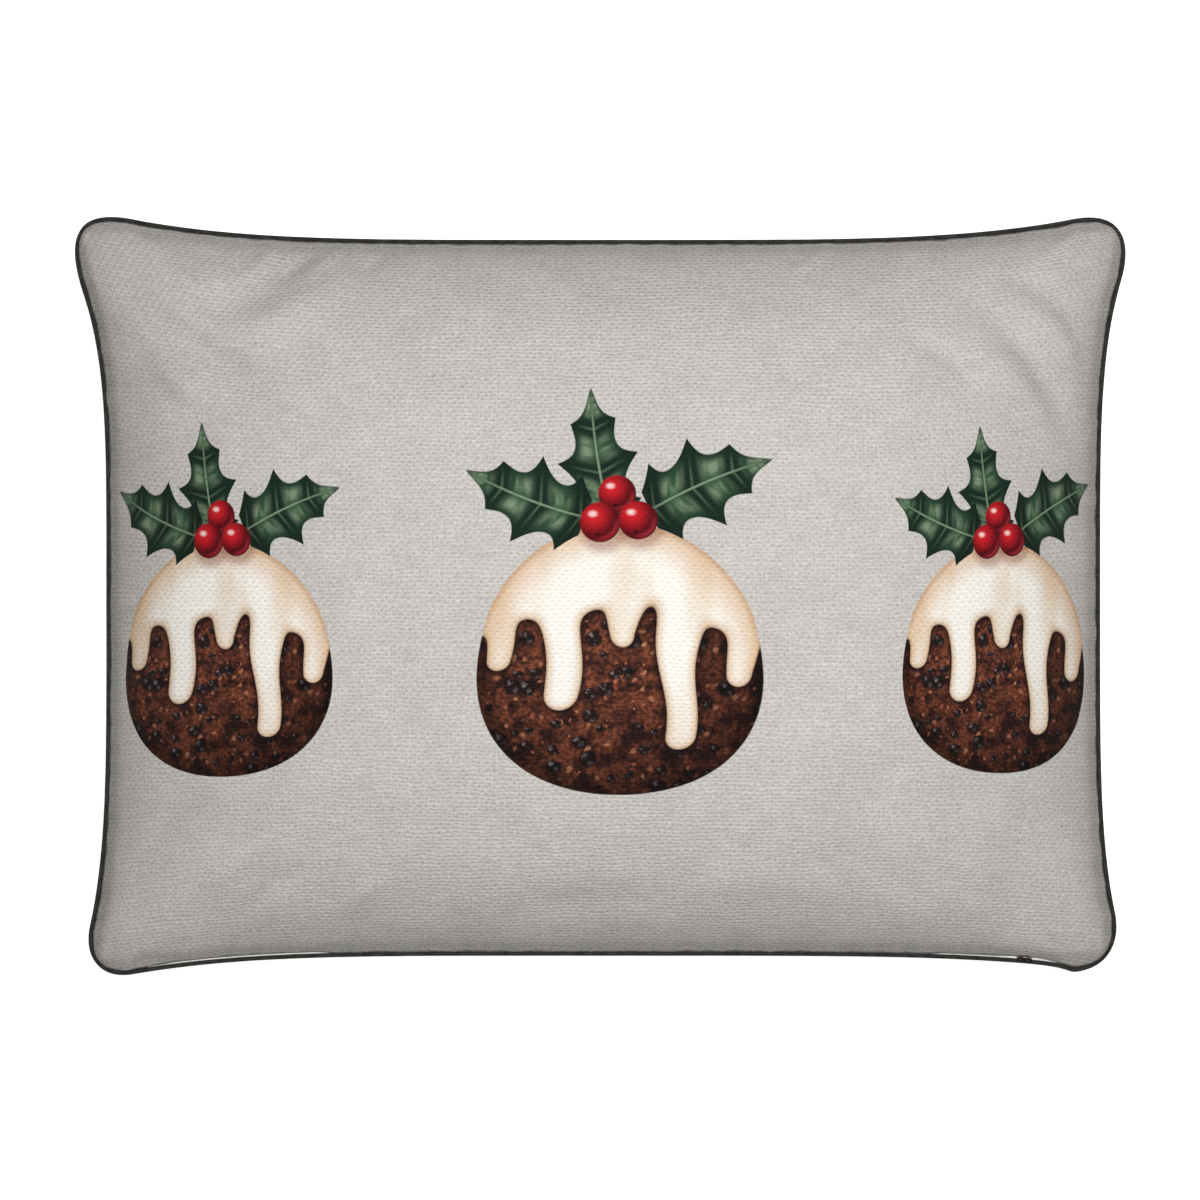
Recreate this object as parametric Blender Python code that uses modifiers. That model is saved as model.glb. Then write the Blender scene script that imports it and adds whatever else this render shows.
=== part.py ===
"""A piped rectangular scatter cushion, lying on its back with its front up.

Its long side runs along X, the top of its print is towards +Y and the zip is in the -Y seam.
The origin is on the ground under the middle of the cushion's outline. Metres, +Z up.
"""

import math

import bmesh
import bpy
from mathutils import Vector

# The seam, halfway along each side: how far it is from the middle of the cover.
WAIST_LEFT, WAIST_RIGHT = 0.2318, 0.2347
WAIST_BOTTOM, WAIST_TOP = 0.1682, 0.1665
# Each corner: how much further out than the waists it reaches along X and Y, and its radius.
CORNERS = {
    (-1, 1): (0.0375, 0.0233, 0.0425),
    (1, 1): (0.0267, 0.0198, 0.0339),
    (-1, -1): (0.0166, 0.0151, 0.0257),
    (1, -1): (0.0161, 0.0103, 0.0275),
}
FLARE_POWER = 4.3  # how late along a side its corner starts to flare out
HALF_X, HALF_Y = 0.2476, 0.1779  # of the rounded rectangle that the cover is cut to

# The filled cover.
SEAM_Z = 0.062
CORNER_DROOP = 0.005
CROWN = 0.0787  # of the front and of the back over the seam, before the ground flattens the back
CROWN_POWER, CROWN_ROUNDING = 2.7, 0.65
RIM = 0.0008  # half the thickness of the two panels' edges where they are sewn together
COLUMNS, ROWS = 44, 32
EDGE_SPACING = 0.8 * math.pi / 2  # the larger, the closer the rows are near the seam

# The piping.
GAP = 0.0003
PIPING_RADIUS = 0.00105
PIPING_OUT = GAP + PIPING_RADIUS

# The zip: its tape's edge lies on the piping's inner side, and the slider is near its right end.
# Places along the seam are shares of the half width, from the middle.
ZIP_START, ZIP_END = -0.865, 0.885
ZIP_STEPS = 40
TAPE_RADIUS = 0.00045
TAPE_OUT, TAPE_UP = 0.0008, 0.00175
SLIDER_AT = 0.786
SLIDER_SIZE = Vector((0.0050, 0.0022, 0.0018))
SLIDER_ROUNDING = 0.0005
SLIDER_OUT = 0.0013
PULL_SIZE = Vector((0.0050, 0.0020, 0.0006))
PULL_ROUNDING = 0.0002

COLOURS = {
    "cover": ((0.56, 0.53, 0.50), 0.9, 0.0),
    "piping": ((0.035, 0.034, 0.033), 0.85, 0.0),
    "zip_tape": ((0.80, 0.79, 0.76), 0.8, 0.0),
    "zip_metal": ((0.03, 0.027, 0.02), 0.4, 0.8),
}


def clear_scene():
    for obj in list(bpy.data.objects):
        bpy.data.objects.remove(obj)


def material(name):
    colour, roughness, metallic = COLOURS[name]
    made = bpy.data.materials.new(name)
    made.use_nodes = True
    shader = made.node_tree.nodes["Principled BSDF"]
    shader.inputs["Base Color"].default_value = (*colour, 1)
    shader.inputs["Roughness"].default_value = roughness
    shader.inputs["Metallic"].default_value = metallic
    return made


def add(name, data, parts):
    """A new object of the cushion."""
    obj = bpy.data.objects.new(name, data)
    parts.objects.link(obj)
    return obj


def side(value):
    return 1 if value >= 0 else -1


def cut(u, v):
    """The place in the flat, round-cornered cut of the grid's point u, v, each from -1 to 1."""
    x, y = u * HALF_X, v * HALF_Y
    radius = CORNERS[side(u), side(v)][2]
    across = (abs(x) - HALF_X) / radius + 1
    along = (abs(y) - HALF_Y) / radius + 1
    if across > 0 and along > 0:
        # The square at the corner is drawn in to a quarter of a disc.
        pull = 1 - max(across, along) / math.hypot(across, along)
        x -= side(u) * across * radius * pull
        y -= side(v) * along * radius * pull
    return x, y


def waisted(x, y):
    """Where the cut's point x, y goes once the filling has drawn in the middle of each side."""
    u, v = x / HALF_X, y / HALF_Y
    flare_x, flare_y, _ = CORNERS[side(u), side(v)]
    waist_x = WAIST_RIGHT if u >= 0 else WAIST_LEFT
    waist_y = WAIST_TOP if v >= 0 else WAIST_BOTTOM
    return (
        u * (waist_x + flare_x * abs(v) ** FLARE_POWER),
        v * (waist_y + flare_y * abs(u) ** FLARE_POWER),
    )


def seam_height(u, v):
    return SEAM_Z - CORNER_DROOP * abs(u * v) ** 3


def cover_point(u, v, face):
    """The cover's point over u, v, on its front (face 1) or its back (face -1)."""
    x, y = waisted(*cut(u, v))
    dome = (1 - abs(u) ** CROWN_POWER) * (1 - abs(v) ** CROWN_POWER)
    rise = RIM + CROWN * max(dome, 0) ** CROWN_ROUNDING
    return Vector((x, y, max(seam_height(u, v) + face * rise, 0)))


def spaced(step, steps):
    """From -1 to 1 in so many steps, which are closer at the ends."""
    return math.sin(EDGE_SPACING * (2 * step / steps - 1)) / math.sin(EDGE_SPACING)


def seam_point(u, v):
    return Vector((*waisted(*cut(u, v)), seam_height(u, v)))


def seam_line():
    """The seam's points in order, anticlockwise from the lower left corner, seen from above."""
    columns = [spaced(i, COLUMNS) for i in range(COLUMNS)]
    rows = [spaced(j, ROWS) for j in range(ROWS)]
    ring = [(u, -1) for u in columns] + [(1, v) for v in rows]
    ring += [(-u, 1) for u in columns] + [(-1, -v) for v in rows]
    return [seam_point(u, v) for u, v in ring]


def outward(before, after):
    """The level direction out of the cushion, on a seam that runs from one point to the other."""
    along = after - before
    return Vector((along.y, -along.x, 0)).normalized()


def beside(line, out, up, closed):
    """The line's points, moved out of the cushion and up."""
    last = len(line) - 1
    moved = []
    for i, point in enumerate(line):
        before = line[i - 1] if closed or i > 0 else point
        after = line[(i + 1) % len(line)] if closed or i < last else point
        normal = outward(before, after)
        # At a bend the shift is longer, so that each straight stretch keeps its distance.
        stretch = normal.dot(outward(before, point)) if before != point else 1
        moved.append(point + normal * out / stretch + Vector((0, 0, up)))
    return moved


def tube(name, points, radius, closed, parts):
    curve = bpy.data.curves.new(name, "CURVE")
    curve.dimensions = "3D"
    curve.bevel_depth = radius
    curve.bevel_resolution = 2
    curve.use_fill_caps = not closed
    spline = curve.splines.new("POLY")
    spline.use_cyclic_u = closed
    spline.points.add(len(points) - 1)
    for spot, point in zip(spline.points, points):
        spot.co = (*point, 1)
    return add(name, curve, parts)


def make_cover(parts):
    """A grid extruded to a slab, whose top becomes the front and whose bottom the back."""
    mesh = bpy.data.meshes.new("cover")
    bm = bmesh.new()
    bmesh.ops.create_grid(bm, x_segments=COLUMNS, y_segments=ROWS, size=1)
    top = bmesh.ops.extrude_face_region(bm, geom=bm.faces[:])["geom"]
    fronts = [part for part in top if isinstance(part, bmesh.types.BMVert)]
    bmesh.ops.translate(bm, verts=fronts, vec=(0, 0, 1))
    for vert in bm.verts:
        u = spaced((vert.co.x + 1) / 2 * COLUMNS, COLUMNS)
        v = spaced((vert.co.y + 1) / 2 * ROWS, ROWS)
        vert.co = cover_point(u, v, 1 if vert.co.z > 0.5 else -1)
    bmesh.ops.recalc_face_normals(bm, faces=bm.faces[:])
    bm.to_mesh(mesh)
    bm.free()
    mesh.shade_smooth()
    mesh.materials.append(material("cover"))
    add("cover", mesh, parts)


def make_piping(parts):
    piping = tube("piping", beside(seam_line(), PIPING_OUT, 0, True), PIPING_RADIUS, True, parts)
    piping.data.materials.append(material("piping"))


def make_block(name, start, size, rounding, parts):
    """A block with rounded edges over the zip, lying along the seam from a share of its half."""
    mesh = bpy.data.meshes.new(name)
    bm = bmesh.new()
    bmesh.ops.create_cube(bm, size=1)
    bmesh.ops.scale(bm, verts=bm.verts[:], vec=size)
    bm.to_mesh(mesh)
    bm.free()
    block = add(name, mesh, parts)
    near = seam_point(start, -1)
    along = (seam_point(start + size.x / HALF_X, -1) - near).normalized()
    up = TAPE_UP + TAPE_RADIUS + GAP + SLIDER_SIZE.z / 2
    middle = near + along * size.x / 2
    block.location = middle + outward(near, middle) * SLIDER_OUT + Vector((0, 0, up))
    block.rotation_euler.z = math.atan2(along.y, along.x)
    bevel = block.modifiers.new("Rounding", "BEVEL")
    bevel.width = rounding
    bevel.segments = 2
    return block


def make_zip(parts):
    step = (ZIP_END - ZIP_START) / ZIP_STEPS
    line = [seam_point(ZIP_START + step * i, -1) for i in range(ZIP_STEPS + 1)]
    tape = tube("zip_tape", beside(line, TAPE_OUT, TAPE_UP, False), TAPE_RADIUS, False, parts)
    tape.data.materials.append(material("zip_tape"))

    slider = make_block("zip_slider", SLIDER_AT, SLIDER_SIZE, SLIDER_ROUNDING, parts)
    pull_at = SLIDER_AT + (SLIDER_SIZE.x + GAP) / HALF_X
    pull = make_block("zip_pull", pull_at, PULL_SIZE, PULL_ROUNDING, parts)
    metal = material("zip_metal")
    slider.data.materials.append(metal)
    pull.data.materials.append(metal)


def main():
    clear_scene()
    parts = bpy.data.collections.new("scatter_cushion")
    bpy.context.scene.collection.children.link(parts)
    make_cover(parts)
    make_piping(parts)
    make_zip(parts)


main()
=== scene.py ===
import math

import bpy
import numpy as np
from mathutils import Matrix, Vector, noise


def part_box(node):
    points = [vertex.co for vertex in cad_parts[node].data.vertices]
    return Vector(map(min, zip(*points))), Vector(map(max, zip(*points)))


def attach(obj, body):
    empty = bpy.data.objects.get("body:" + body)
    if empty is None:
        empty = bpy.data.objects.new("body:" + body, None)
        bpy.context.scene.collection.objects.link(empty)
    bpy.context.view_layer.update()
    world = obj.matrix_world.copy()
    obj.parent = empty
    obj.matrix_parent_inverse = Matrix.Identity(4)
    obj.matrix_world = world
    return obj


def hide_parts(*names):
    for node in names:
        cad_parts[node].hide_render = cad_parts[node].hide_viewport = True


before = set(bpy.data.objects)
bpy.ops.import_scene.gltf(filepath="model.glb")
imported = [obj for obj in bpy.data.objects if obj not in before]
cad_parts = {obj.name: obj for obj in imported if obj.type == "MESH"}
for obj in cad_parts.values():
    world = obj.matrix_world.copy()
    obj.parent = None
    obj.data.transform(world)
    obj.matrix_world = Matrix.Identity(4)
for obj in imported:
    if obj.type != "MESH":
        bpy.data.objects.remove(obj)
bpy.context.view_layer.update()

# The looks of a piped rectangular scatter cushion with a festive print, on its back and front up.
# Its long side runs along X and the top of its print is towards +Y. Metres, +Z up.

# The seam, as the model draws it. Halfway along each side: how far it is from the middle.
WAIST_LEFT, WAIST_RIGHT = 0.2318, 0.2347
WAIST_BOTTOM, WAIST_TOP = 0.1682, 0.1665
# Each corner: how much further out than the waists it reaches along X and Y, and its radius.
CORNERS = {
    (-1, 1): (0.0375, 0.0233, 0.0425),
    (1, 1): (0.0267, 0.0198, 0.0339),
    (-1, -1): (0.0166, 0.0151, 0.0257),
    (1, -1): (0.0161, 0.0103, 0.0275),
}
FLARE_POWER = 4.3
# The lower right corner ends in a small point: where, how deep, how blunt, and how far it reaches.
POINT_AT, POINT_DEPTH, POINT_BLUNT = 0.2255, 0.0019, 0.0016
POINT_LEFT, POINT_RIGHT = 0.005, 0.012
HALF_X, HALF_Y = 0.2476, 0.1779
SEAM_Z = 0.062
CORNER_DROOP = 0.005
CROWN = 0.078
CROWN_POWER, CROWN_ROUNDING = 2.6, 0.62
PIPING_OUT, PIPING_RADIUS = 0.00135, 0.00105

# The cover's two panels: the size they are cut to, and the grids they are simulated and drawn with.
CUT_WIDTH, CUT_HEIGHT = 0.535, 0.388
STRETCH_X, STRETCH_Y = CUT_WIDTH / (2 * HALF_X), CUT_HEIGHT / (2 * HALF_Y)
COLUMNS, ROWS = 92, 66
FINER = 4  # drawn cells to each simulated one
FRONT, BACK = 1, -1

# Where the panels' edges run beside the seam line.
HEM_OUT, HEM_UP = 0.00052, 0.0007
TURN_IN = 0.006  # of the seam allowance, inside

# The zip in the lower seam: where its front hem gapes, as shares of the half width.
ZIP_START, ZIP_END = -0.865, 0.885
GAPES = [(-0.86, -0.50, 0.0010), (0.61, 0.88, 0.0008), (0.735, 0.88, 0.0006)]
GAPE_SLOPE = 0.05
COIL_RADIUS, COIL_PITCH = 0.00048, 0.0012
COIL_OUT, COIL_UP = -0.00025, 0.0011
TAPE_FROM, TAPE_TO, TAPE_UP, TAPE_THICKNESS = 0.0002, -0.006, 0.0006, 0.0003
SLIDER_LENGTH, SLIDER_WIDTH, SLIDER_HEIGHT = 0.0042, 0.0022, 0.0018
PULL_LENGTH, PULL_WIDTH, PULL_THICKNESS = 0.0038, 0.0020, 0.0006
PULL_BACK, PULL_UP = 0.0024, 0.0005  # from its place in the model, so that its eye is on the bridge
SLIDER_TUCK = 0.0013  # how far both are tucked in from their places in the model, behind the piping


def corner_values(u, v):
    """For each point, its nearest corner's flare along X, flare along Y and radius."""
    table = np.array([CORNERS[-1, -1], CORNERS[1, -1], CORNERS[-1, 1], CORNERS[1, 1]])
    return np.moveaxis(table[(u >= 0) + 2 * (v >= 0)], -1, 0)


def cut(u, v):
    """Where points u, v of the unit grid lie in the round-cornered cut."""
    x, y = u * HALF_X, v * HALF_Y
    radius = corner_values(u, v)[2]
    across = np.maximum((np.abs(x) - HALF_X) / radius + 1, 0)
    along = np.maximum((np.abs(y) - HALF_Y) / radius + 1, 0)
    # The square at each corner is drawn in to a quarter of a disc, with no kink in its grid lines.
    inward_x = across * radius * (1 - np.sqrt(1 - along * along / 2))
    inward_y = along * radius * (1 - np.sqrt(1 - across * across / 2))
    return x - np.sign(x) * inward_x, y - np.sign(y) * inward_y


def waisted(x, y):
    """Where the cut's points go once the filling has drawn in the middle of each side."""
    u, v = x / HALF_X, y / HALF_Y
    flare_x, flare_y, _ = corner_values(u, v)
    waist_x = np.where(u >= 0, WAIST_RIGHT, WAIST_LEFT)
    waist_y = np.where(v >= 0, WAIST_TOP, WAIST_BOTTOM)
    return (
        u * (waist_x + flare_x * np.abs(v) ** FLARE_POWER),
        v * (waist_y + flare_y * np.abs(u) ** FLARE_POWER),
    )


def seam_point(u, v):
    """The seam line's points, as rows of x, y and z."""
    x, y = waisted(*cut(u, v))
    beside = np.hypot(x - POINT_AT, POINT_BLUNT) - POINT_BLUNT
    reach = np.where(x < POINT_AT, POINT_LEFT, POINT_RIGHT)
    y = y - POINT_DEPTH * np.exp(-beside / reach) * np.maximum(-v, 0) ** 12
    return np.stack([x, y, SEAM_Z - CORNER_DROOP * np.abs(u * v) ** 3], axis=-1)


def outward(u, v):
    """The level directions out of the cushion at the grid's edge points, as rows."""
    step = 1e-4
    side = np.abs(u) >= np.abs(v)
    # The grid's edge is followed anticlockwise a small step each way, round its corners too.
    ahead_u = np.where(side, u, u - np.sign(v) * step)
    ahead_v = np.where(side, v + np.sign(u) * step, v)
    back_u = np.where(side, u, u + np.sign(v) * step)
    back_v = np.where(side, v - np.sign(u) * step, v)
    run = seam_point(ahead_u, ahead_v) - seam_point(back_u, back_v)
    out = np.stack([run[..., 1], -run[..., 0], np.zeros_like(u)], axis=-1)
    return out / np.linalg.norm(out, axis=-1, keepdims=True)


def gape(u):
    """How far the front's hem stands back from the zip, at each share of the half width."""
    total = np.zeros_like(u)
    for start, end, depth in GAPES:
        rise = np.clip((u - start) / GAPE_SLOPE, 0, 1)
        fall = np.clip((end - u) / GAPE_SLOPE, 0, 1)
        ramp = np.minimum(rise, fall)
        total += depth * ramp * ramp * (3 - 2 * ramp)
    return total


def hem(u, v, face):
    """The edge of the front or back panel along the seam, as rows of x, y and z."""
    lower = (v <= -1) & (face == FRONT)
    open_by = np.where(lower, gape(u), 0)
    over_zip = np.where(lower & (u > ZIP_START) & (u < ZIP_END), 1.0, 0.0)
    place = seam_point(u, v) + outward(u, v) * (HEM_OUT - open_by)[..., None]
    place[..., 2] += face * HEM_UP + over_zip * open_by * 0.8
    return place


def seam_distance(u, v):
    """How far the cut's points are from its edge, up to its corner's radius, and how much of that
    distance is to one of the sides, from 0 to 1."""
    x, y = cut(u, v)
    radius = corner_values(u, v)[2]
    across = np.maximum(np.abs(x) - HALF_X + radius, 0)
    along = np.maximum(np.abs(y) - HALF_Y + radius, 0)
    reach = np.hypot(across, along)
    share = (across / np.maximum(reach, 1e-9)) ** 2
    return (radius - reach) * (STRETCH_X + STRETCH_Y) / 2, share


def edge_of(u, v):
    return (np.abs(u) >= 1) | (np.abs(v) >= 1)


def unit_grid(columns, rows):
    return np.meshgrid(np.linspace(-1, 1, columns + 1), np.linspace(-1, 1, rows + 1))


def unfilled(u, v, face):
    """A panel's plain domed shape, which the simulation starts from."""
    x, y = waisted(*cut(u, v))
    dome = (1 - np.abs(u) ** CROWN_POWER) * (1 - np.abs(v) ** CROWN_POWER)
    rise = CROWN * np.maximum(dome, 0) ** CROWN_ROUNDING
    z = np.maximum(SEAM_Z + face * rise, 0)
    place = np.stack([x, y, z], axis=-1)
    edge = edge_of(u, v)
    place[edge] = hem(u[edge], v[edge], face)
    return place


def flat_cut(u, v):
    """The panel's own points as it was cut, lying flat, as rows of x, y and 0."""
    x, y = cut(u, v)
    return np.stack([x * STRETCH_X, y * STRETCH_Y, np.zeros_like(x)], axis=-1)


def grid_quads(columns, rows, face, first=0):
    corner = first + np.arange(rows)[:, None] * (columns + 1) + np.arange(columns)
    quads = np.stack([corner, corner + 1, corner + columns + 2, corner + columns + 1], axis=-1)
    quads = quads.reshape(-1, 4)
    return quads if face == FRONT else quads[:, ::-1]


def new_object(name, points, faces):
    mesh = bpy.data.meshes.new(name)
    mesh.from_pydata(points.tolist(), [], [list(face) for face in faces])
    mesh.shade_smooth()
    obj = bpy.data.objects.new(name, mesh)
    bpy.context.scene.collection.objects.link(obj)
    return obj


# The filling.
PRESSURE = 3.5
CLOTH_FRAMES = 20
CLOTH_LIFT = 0.0018  # how far over the ground the simulation keeps the cloth


def ground_for_cloth():
    size = 1.0
    corners = np.array([[-size, -size, 0], [size, -size, 0], [size, size, 0], [-size, size, 0]])
    ground = new_object("cloth_ground", corners, [[0, 1, 2, 3]])
    ground.location.z = -CLOTH_LIFT
    ground.modifiers.new("Collision", "COLLISION")
    ground.collision.thickness_outer = 0.001
    ground.collision.cloth_friction = 5
    return ground


def simulated(starts, flat, edge):
    """Blows up both panels, cut flat and sewn along their edges, and returns their points."""
    count = flat.size // 3
    quads = np.concatenate([
        grid_quads(COLUMNS, ROWS, FRONT),
        grid_quads(COLUMNS, ROWS, BACK, first=count),
    ])
    points = np.concatenate([start.reshape(-1, 3) for start in starts])
    panels = new_object("cloth_panels", points, quads)
    panels.shape_key_add(name="Basis")
    key = panels.shape_key_add(name="cut", from_mix=False)
    key.data.foreach_set("co", np.tile(flat.reshape(-1, 3), (2, 1)).astype(np.float32).ravel())
    sewn = panels.vertex_groups.new(name="seam")
    edges = np.flatnonzero(np.tile(edge.ravel(), 2))
    sewn.add(edges.tolist(), 1.0, "REPLACE")

    cloth = panels.modifiers.new("Filling", "CLOTH")
    settings = cloth.settings
    settings.rest_shape_key = key
    settings.vertex_group_mass = sewn.name
    settings.mass = 0.3
    settings.quality = 6
    settings.tension_stiffness = settings.compression_stiffness = 15
    settings.shear_stiffness = 5
    settings.bending_stiffness = 0.5
    settings.tension_damping = settings.compression_damping = settings.shear_damping = 5
    settings.bending_damping = 0.5
    settings.air_damping = 2
    settings.use_pressure = True
    settings.uniform_pressure_force = PRESSURE
    settings.effector_weights.gravity = 0
    cloth.collision_settings.distance_min = 0.001
    cloth.point_cache.frame_start = 1
    cloth.point_cache.frame_end = CLOTH_FRAMES
    ground = ground_for_cloth()
    for step in range(1, CLOTH_FRAMES + 1):
        bpy.context.scene.frame_set(step)
    shaped = panels.evaluated_get(bpy.context.evaluated_depsgraph_get())
    found = np.empty(6 * count, np.float32)
    shaped.data.vertices.foreach_get("co", found)
    bpy.data.objects.remove(panels)
    bpy.data.objects.remove(ground)
    bpy.context.scene.frame_set(1)
    return found.astype(float).reshape(2, *flat.shape)


def spline(count, steps):
    """The matrix that draws a natural cubic spline, of so many steps, through evenly spaced points."""
    inner = np.arange(1, count - 1)
    bends = np.eye(count)
    bends[inner, inner] = 4
    bends[inner, inner - 1] = bends[inner, inner + 1] = 1
    pulls = np.zeros((count, count))
    pulls[inner, inner] = -12
    pulls[inner, inner - 1] = pulls[inner, inner + 1] = 6
    curving = np.linalg.solve(bends, pulls)
    place = np.arange((count - 1) * steps + 1) / steps
    left = np.minimum(place.astype(int), count - 2)
    part = (place - left)[:, None]
    points = np.eye(count)
    straight = (1 - part) * points[left] + part * points[left + 1]
    bow = (2 - part) * curving[left] + (1 + part) * curving[left + 1]
    return straight - part * (1 - part) / 6 * bow


def finer(points):
    """The grid's points, with a smooth surface drawn through them at the finer steps."""
    down = np.tensordot(spline(ROWS + 1, FINER), points, axes=(1, 0))
    return np.moveaxis(np.tensordot(spline(COLUMNS + 1, FINER), down, axes=(1, 1)), 0, 1)


# The cover's small relief, in the flat cut's metres.
# Each crease: where it starts and ends, how far it bows to its left, its width and its height.
CREASES = [
    # The upper right corner's three long folds, and the ridge between them.
    ((0.166, 0.168), (0.254, 0.068), 0.011, 0.0074, -0.0014),
    ((0.146, 0.138), (0.196, 0.102), 0.006, 0.0060, -0.0011),
    ((0.192, 0.168), (0.252, 0.128), 0.007, 0.0062, -0.0013),
    ((0.182, 0.134), (0.236, 0.072), 0.008, 0.0070, 0.0009),
    ((0.214, 0.150), (0.254, 0.100), 0.006, 0.0050, 0.0007),
    # The upper left corner's broad fold, with a ridge on each side of it.
    ((-0.248, 0.150), (-0.156, 0.096), 0.000, 0.0085, -0.0023),
    ((-0.240, 0.126), (-0.192, 0.092), -0.003, 0.0075, 0.0014),
    # The fold that comes down to it from the upper seam, and the ridge below that.
    ((-0.130, 0.190), (-0.218, 0.134), 0.004, 0.0096, -0.0013),
    ((-0.112, 0.178), (-0.194, 0.130), 0.004, 0.0095, 0.0012),
    ((-0.226, 0.168), (-0.186, 0.150), 0.003, 0.0060, 0.0008),
    # Short gathers that slant away from the upper seam.
    ((-0.176, 0.166), (-0.150, 0.190), 0.0, 0.0034, 0.0008),
    ((-0.160, 0.164), (-0.134, 0.190), 0.0, 0.0034, -0.0008),
    ((-0.146, 0.166), (-0.120, 0.190), 0.0, 0.0036, 0.0008),
    ((-0.118, 0.170), (-0.098, 0.190), 0.0, 0.0038, -0.0006),
    ((0.112, 0.190), (0.090, 0.168), 0.0, 0.0040, 0.0006),
    # The lower corners' slighter ones.
    ((-0.246, -0.128), (-0.196, -0.100), 0.004, 0.0070, -0.0009),
    ((-0.214, -0.164), (-0.166, -0.124), 0.003, 0.0055, 0.0009),
    ((-0.190, -0.172), (-0.150, -0.136), 0.002, 0.0055, -0.0008),
    ((-0.144, -0.174), (-0.104, -0.142), 0.0, 0.0060, 0.0007),
    ((0.248, -0.130), (0.192, -0.096), -0.004, 0.0070, -0.0009),
    ((0.212, -0.166), (0.160, -0.122), -0.003, 0.0065, 0.0007),
    ((0.176, -0.170), (0.128, -0.128), 0.002, 0.0075, -0.0007),
    ((-0.060, -0.168), (0.050, -0.160), 0.004, 0.0090, -0.0007),
    ((0.040, -0.152), (0.130, -0.150), 0.003, 0.0100, 0.0006),
]
CREASE_STRENGTH = 1.7
PUCKER_HEIGHT, PUCKER_LENGTH, PUCKER_REACH = 0.0010, 0.0080, 0.012
PINCH_DEPTH, PINCH_AT, PINCH_REACH = 0.0003, 0.0032, 0.0022  # of the cover beside the stitches
LUMP_HEIGHT, LUMP_LENGTH = 0.0011, 0.055


def noise_at(points, seed):
    shift = Vector((seed * 7.3, seed * 3.1, seed * 5.7))
    flat_list = points.reshape(-1, 3)
    values = [noise.noise(Vector(point) + shift) for point in flat_list]
    return np.array(values).reshape(points.shape[:-1])


def crease_height(x, y):
    total = np.zeros_like(x)
    for (x1, y1), (x2, y2), bow, width, height in CREASES:
        run_x, run_y = x2 - x1, y2 - y1
        length = math.hypot(run_x, run_y)
        along = ((x - x1) * run_x + (y - y1) * run_y) / length**2
        aside = ((x - x1) * run_y - (y - y1) * run_x) / length + bow * 4 * along * (1 - along)
        fade = np.sin(math.pi * np.clip(along, 0, 1)) ** 1.4
        total += CREASE_STRENGTH * height * fade * np.exp(-((aside / width) ** 2))
    return total


def pucker_height(u, v, x, y, seed):
    """Short gathers that run in from the seam."""
    inset, share = seam_distance(u, v)
    inset = np.maximum(inset, 0)
    stretch = 7
    level = np.stack([x / PUCKER_LENGTH, y / PUCKER_LENGTH / stretch, 0 * x], axis=-1)
    upright = np.stack([x / PUCKER_LENGTH / stretch, y / PUCKER_LENGTH, 0 * x + 9], axis=-1)
    near = np.exp(-((inset / PUCKER_REACH) ** 1.5)) * np.clip(inset / 0.0015, 0, 1)
    gathers = share * noise_at(upright, seed) + (1 - share) * noise_at(level, seed)
    return PUCKER_HEIGHT * near * gathers


def pinch_height(u, v):
    """How the stitches hold the cover down beside the seam."""
    inset = seam_distance(u, v)[0]
    pinch = np.exp(-(((inset - PINCH_AT) / PINCH_REACH) ** 2))
    return -PINCH_DEPTH * pinch * np.clip(inset / PINCH_AT, 0, 1)


def normals_of(points):
    """The outward normal of each point of a grid."""
    along = np.gradient(points, axis=1)
    across = np.gradient(points, axis=0)
    normal = np.cross(along, across)
    return normal / np.linalg.norm(normal, axis=-1, keepdims=True)


def with_relief(points, u, v, face):
    flat = flat_cut(u, v)
    x, y = flat[..., 0], flat[..., 1]
    inside = np.minimum((1 - u * u), (1 - v * v))
    lumps = noise_at(flat / LUMP_LENGTH, 3 + face) + 0.4 * noise_at(flat / LUMP_LENGTH * 2.3, 8 + face)
    height = pucker_height(u, v, x, y, 5 + face)
    height += LUMP_HEIGHT * lumps * np.clip(inside * 3, 0, 1) + pinch_height(u, v)
    if face == FRONT:
        height += crease_height(x, y)
    return points + normals_of(points) * (height * face)[..., None]


def ring_indices(columns, rows):
    """The grid's edge points in order, anticlockwise from the lower left corner."""
    grid = np.arange((columns + 1) * (rows + 1)).reshape(rows + 1, columns + 1)
    return np.concatenate([grid[0, :-1], grid[:-1, -1], grid[-1, :0:-1], grid[:0:-1, 0]])


def add_vectors(mesh, name, values):
    attribute = mesh.attributes.new(name, "FLOAT_VECTOR", "POINT")
    attribute.data.foreach_set("vector", values.astype(np.float32).ravel())


def add_bake_map(mesh, places):
    """The bake map that the weave and print are drawn on: a place for each face corner."""
    layer = mesh.uv_layers.new(name="OFBake")
    layer.data.foreach_set("uv", places.astype(np.float32).ravel())


def corner_vertices(mesh):
    found = np.empty(len(mesh.loops), np.int32)
    mesh.loops.foreach_get("vertex_index", found)
    return found


MAP_MARGIN = 0.004
FOLLOWING_ROWS = 6
LINING_SHARE = 0.36  # the lining's size on the bake map, next to the panel's


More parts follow.
